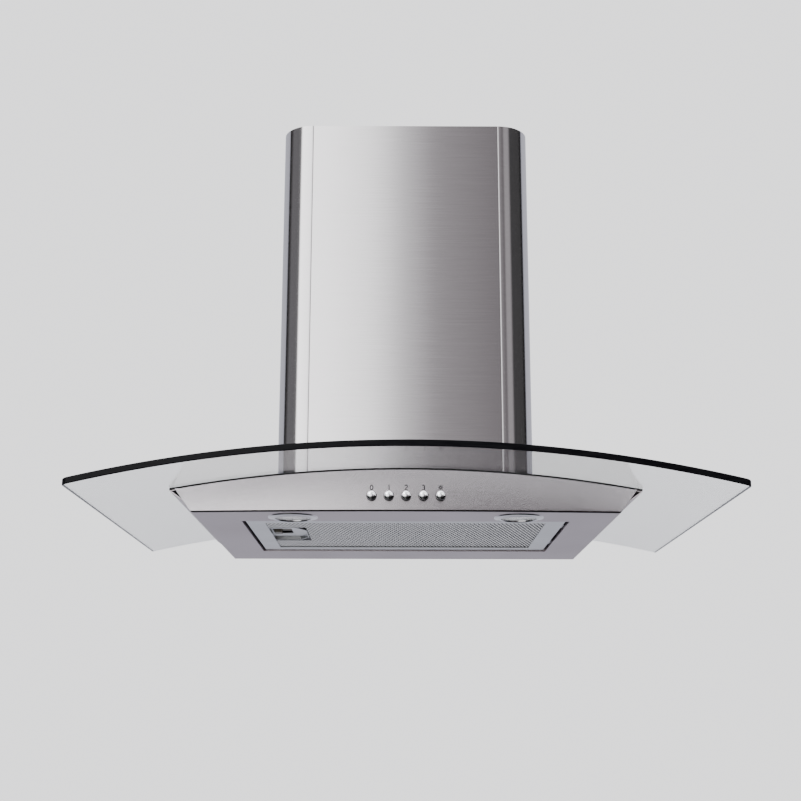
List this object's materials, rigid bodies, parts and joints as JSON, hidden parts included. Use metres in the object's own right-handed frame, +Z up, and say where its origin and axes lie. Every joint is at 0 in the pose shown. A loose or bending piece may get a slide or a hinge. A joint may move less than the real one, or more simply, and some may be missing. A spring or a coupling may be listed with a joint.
{
  "type": "wall chimney range hood",
  "caption": "Chimney range hood with a curved glass canopy, push buttons, two lamps, a drop-down grease filter and a telescoping chimney.",
  "frame": {"origin": "middle of the line of two hanging screws, on the wall plane", "axes": "+Z up, +X to the right of someone facing the hood, +Y into the wall; the front faces -Y"},
  "size_m": [0.6, 0.46, 0.4422],
  "materials": {
    "canopy_glass": "clear, polished edges with a black band",
    "lamp_glass": "faceted, frosted",
    "black_rubber": "matt",
    "brushed_stainless": "horizontal brushing",
    "satin_stainless": "fine satin",
    "galvanised_steel": "galvanised",
    "polished_chrome": "polished",
    "filter_aluminium": "mill finish",
    "latch_plastic": "matt",
    "black_plastic": "fine texture",
    "grey_plastic": "fine texture",
    "white_plastic": "smooth",
    "motor_enamel": "enamel",
    "bright_steel": "turned",
    "zinc_plate": "zinc plated",
    "bulb_glass": "clear",
    "reflector": "polished"
  },
  "bodies": {
    "root": {"glass_canopy": "canopy_glass", "glass_gasket": "black_rubber", "body_shell": "satin_stainless", "underside_panel": "satin_stainless", "front_fascia": "brushed_stainless", "chimney_cover": "brushed_stainless", "blower_box": "galvanised_steel", "box_seal": "black_rubber", "wall_bracket": "galvanised_steel", "clamp_screws": "zinc_plate", "clamp_nuts": "zinc_plate", "glass_bushes": "white_plastic", "scroll_wrap": "black_plastic", "scroll_side_left": "black_plastic", "scroll_side_right": "black_plastic", "inlet_ring_left": "black_plastic", "inlet_ring_right": "black_plastic", "motor_bracket": "galvanised_steel", "motor": "motor_enamel", "motor_screws": "zinc_plate", "outlet_collar": "black_plastic", "collar_screws": "zinc_plate", "flap_rod": "bright_steel", "terminal_box": "black_plastic", "terminal_lid": "black_plastic", "terminal_lid_screws": "zinc_plate", "cable_gland": "black_plastic", "motor_capacitor": "white_plastic", "switch_block": "black_plastic", "switch_bracket": "galvanised_steel", "lamp_bezel_left": "polished_chrome", "lamp_bezel_right": "polished_chrome", "lamp_lens_left": "lamp_glass", "lamp_lens_right": "lamp_glass", "lamp_cup_left": "reflector", "lamp_cup_right": "reflector", "lamp_bulb_left": "bulb_glass", "lamp_bulb_right": "bulb_glass", "lamp_transformer": "white_plastic"},
    "chimney_extension": {"chimney_extension": "brushed_stainless", "chimney_bracket": "galvanised_steel"},
    "filter": {"filter_frame": "filter_aluminium", "filter_mesh_lower": "filter_aluminium", "filter_mesh_upper": "filter_aluminium", "filter_media": "filter_aluminium", "latch_recess": "filter_aluminium", "latch_spring": "bright_steel"},
    "filter_latch": {"filter_latch": "latch_plastic"},
    "impeller": {"impeller_hub": "grey_plastic", "impeller_blades_left": "grey_plastic", "impeller_blades_right": "grey_plastic", "rotor_shaft": "bright_steel"},
    "flap_front": {"flap_front": "grey_plastic"},
    "flap_back": {"flap_back": "grey_plastic"},
    "button_off": {"button_off": "polished_chrome"},
    "button_speed_1": {"button_speed_1": "polished_chrome"},
    "button_speed_2": {"button_speed_2": "polished_chrome"},
    "button_speed_3": {"button_speed_3": "polished_chrome"},
    "button_light": {"button_light": "polished_chrome"}
  },
  "joints": [
    {"name": "chimney_telescope", "type": "slide", "parent": "root", "child": "chimney_extension", "axis": [0, 0, 1], "range_m": [0, 0.3]},
    {"name": "filter_drop", "type": "hinge", "parent": "root", "child": "filter", "pos_m": [0.1604, -0.184, -0.2967], "axis": [0, -1, 0], "range_deg": [0, 45]},
    {"name": "latch_slide", "type": "slide", "parent": "filter", "child": "filter_latch", "axis": [1, 0, 0], "range_m": [0, 0.006], "stiffness_N_per_m": 300, "springref_m": -0.004, "deforming": ["latch_spring"]},
    {"name": "impeller_spin", "type": "hinge", "parent": "root", "child": "impeller", "pos_m": [0, -0.128, -0.13], "axis": [1, 0, 0], "continuous": true},
    {"name": "flap_front_swing", "type": "hinge", "parent": "root", "child": "flap_front", "pos_m": [0, -0.08, 0.039], "axis": [-1, 0, 0], "range_deg": [0, 80]},
    {"name": "flap_back_swing", "type": "hinge", "parent": "root", "child": "flap_back", "pos_m": [0, -0.08, 0.039], "axis": [1, 0, 0], "range_deg": [0, 80]},
    {"name": "button_off_press", "type": "slide", "parent": "root", "child": "button_off", "axis": [0, 1, 0], "range_m": [0, 0.003], "stiffness_N_per_m": 600, "springref_m": -0.001},
    {"name": "button_speed_1_press", "type": "slide", "parent": "root", "child": "button_speed_1", "axis": [0, 1, 0], "range_m": [0, 0.003], "stiffness_N_per_m": 600, "springref_m": -0.001},
    {"name": "button_speed_2_press", "type": "slide", "parent": "root", "child": "button_speed_2", "axis": [0, 1, 0], "range_m": [0, 0.003], "stiffness_N_per_m": 600, "springref_m": -0.001},
    {"name": "button_speed_3_press", "type": "slide", "parent": "root", "child": "button_speed_3", "axis": [0, 1, 0], "range_m": [0, 0.003], "stiffness_N_per_m": 600, "springref_m": -0.001},
    {"name": "button_light_press", "type": "slide", "parent": "root", "child": "button_light", "axis": [0, 1, 0], "range_m": [0, 0.003], "stiffness_N_per_m": 600, "springref_m": -0.001}
  ]
}
